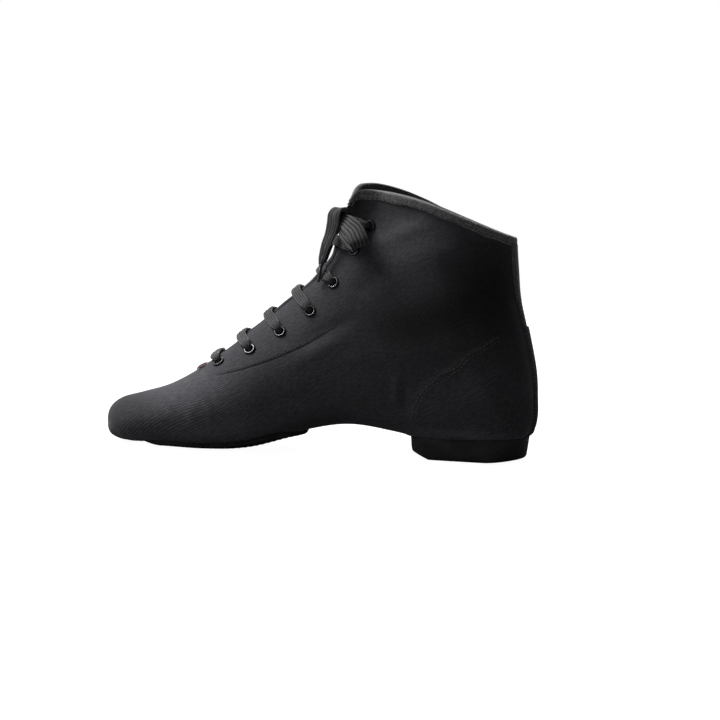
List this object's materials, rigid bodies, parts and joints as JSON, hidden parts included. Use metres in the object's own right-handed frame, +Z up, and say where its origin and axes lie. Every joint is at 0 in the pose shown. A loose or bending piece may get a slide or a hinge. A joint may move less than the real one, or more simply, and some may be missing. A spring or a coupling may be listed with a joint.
{
  "type": "jazz shoe",
  "caption": "Black canvas lace-up ankle jazz shoe with a split sole: a thin rubber patch under the ball and a low heel block, a bound collar, and a throat laced with a bow.",
  "frame": {"origin": "on the floor, under the middle of the shoe's bounding box without its free lace", "axes": "toe along -X, heel along +X, medial side towards -Y, +Z up"},
  "size_m": [0.2498, 0.0834, 0.1567],
  "materials": {
    "canvas": "matt cotton twill canvas, black, faintly charcoal where light falls on it",
    "tape": "matt cotton twill tape, black",
    "rubber": "matt black moulded rubber",
    "insole_cloth": "matt black sock cloth",
    "lace": "flat braided cotton, charcoal black",
    "eyelet_metal": "black enamel with a thin bright rim",
    "aglet_plastic": "glossy black plastic film"
  },
  "bodies": {
    "root": {"upper": "canvas", "tongue": "canvas", "insole": "insole_cloth", "forefoot_sole": "rubber", "heel_block": "rubber", "collar_binding": "tape", "backstay": "tape", "eyelet_medial_1": "eyelet_metal", "eyelet_medial_2": "eyelet_metal", "eyelet_medial_3": "eyelet_metal", "eyelet_medial_4": "eyelet_metal", "eyelet_medial_5": "eyelet_metal", "eyelet_medial_6": "eyelet_metal", "eyelet_medial_7": "eyelet_metal", "eyelet_lateral_1": "eyelet_metal", "eyelet_lateral_2": "eyelet_metal", "eyelet_lateral_3": "eyelet_metal", "eyelet_lateral_4": "eyelet_metal", "eyelet_lateral_5": "eyelet_metal", "eyelet_lateral_6": "eyelet_metal", "eyelet_lateral_7": "eyelet_metal", "lace_bar_1": "lace", "lace_bar_2": "lace", "lace_bar_3": "lace", "lace_bar_4": "lace", "lace_bar_5": "lace", "lace_bar_6": "lace", "lace_strand_medial": "lace", "lace_loop_medial": "lace", "lace_end_medial": "lace", "aglet_medial": "aglet_plastic", "lace_strand_lateral": "lace", "lace_loop_lateral": "lace", "lace_end_lateral": "lace", "aglet_lateral": "aglet_plastic", "lace_knot": "lace"}
  },
  "joints": []
}
